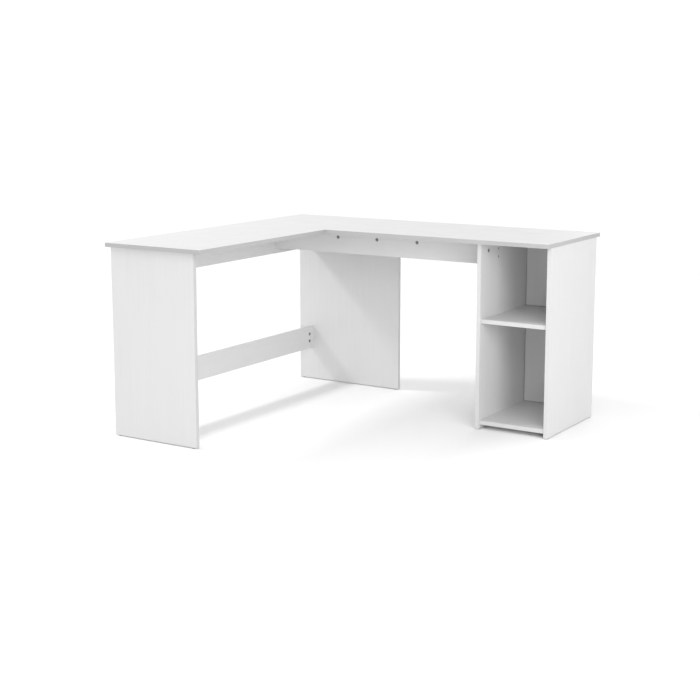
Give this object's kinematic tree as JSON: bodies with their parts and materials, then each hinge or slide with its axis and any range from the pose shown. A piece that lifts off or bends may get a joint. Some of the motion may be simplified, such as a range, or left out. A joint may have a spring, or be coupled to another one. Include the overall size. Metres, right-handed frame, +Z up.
{
  "type": "corner desk",
  "caption": "L-shaped corner desk in white board, with end panel, corner panel, aprons, a low stretcher and an open-fronted cabinet with a shelf under one end.",
  "frame": {"origin": "on the floor, under the middle of the desk's bounding box", "axes": "+X along the main wing to its cabinet end, +Y towards the back wall, +Z up; the left wing runs from the main wing towards -Y"},
  "size_m": [1.44, 1.315, 0.75],
  "materials": {
    "white_board": "white melamine-faced particleboard, fine matt orange-peel",
    "white_edging": "white glued edge banding with a fine rounded arris",
    "cam_zinc": "dull die-cast zinc",
    "steel": "bright zinc-plated steel",
    "beech": "bare beech, turned plain",
    "glide_plastic": "dark grey moulded polyethylene"
  },
  "bodies": {
    "root": {"desktop_main": "white_board", "desktop_return": "white_board", "left_end_panel": "white_board", "corner_panel": "white_board", "left_apron": "white_board", "left_stretcher": "white_board", "right_apron": "white_board", "cabinet_left_side": "white_board", "cabinet_right_side": "white_board", "cabinet_bottom": "white_board", "cabinet_shelf": "white_board", "cabinet_back": "white_board", "desktop_main_edging": "white_edging", "desktop_return_edging": "white_edging", "left_end_panel_edging": "white_edging", "corner_panel_edging": "white_edging", "left_apron_edging": "white_edging", "left_stretcher_edging": "white_edging", "right_apron_edging": "white_edging", "cabinet_left_side_edging": "white_edging", "cabinet_right_side_edging": "white_edging", "cabinet_bottom_edging": "white_edging", "cabinet_shelf_edging": "white_edging", "cam_locks": "cam_zinc", "cam_bolts": "steel", "dowels": "beech", "apron_screws": "steel", "seam_plates": "steel", "seam_plate_screws": "steel", "glides": "glide_plastic", "glide_pins": "steel"}
  },
  "joints": []
}
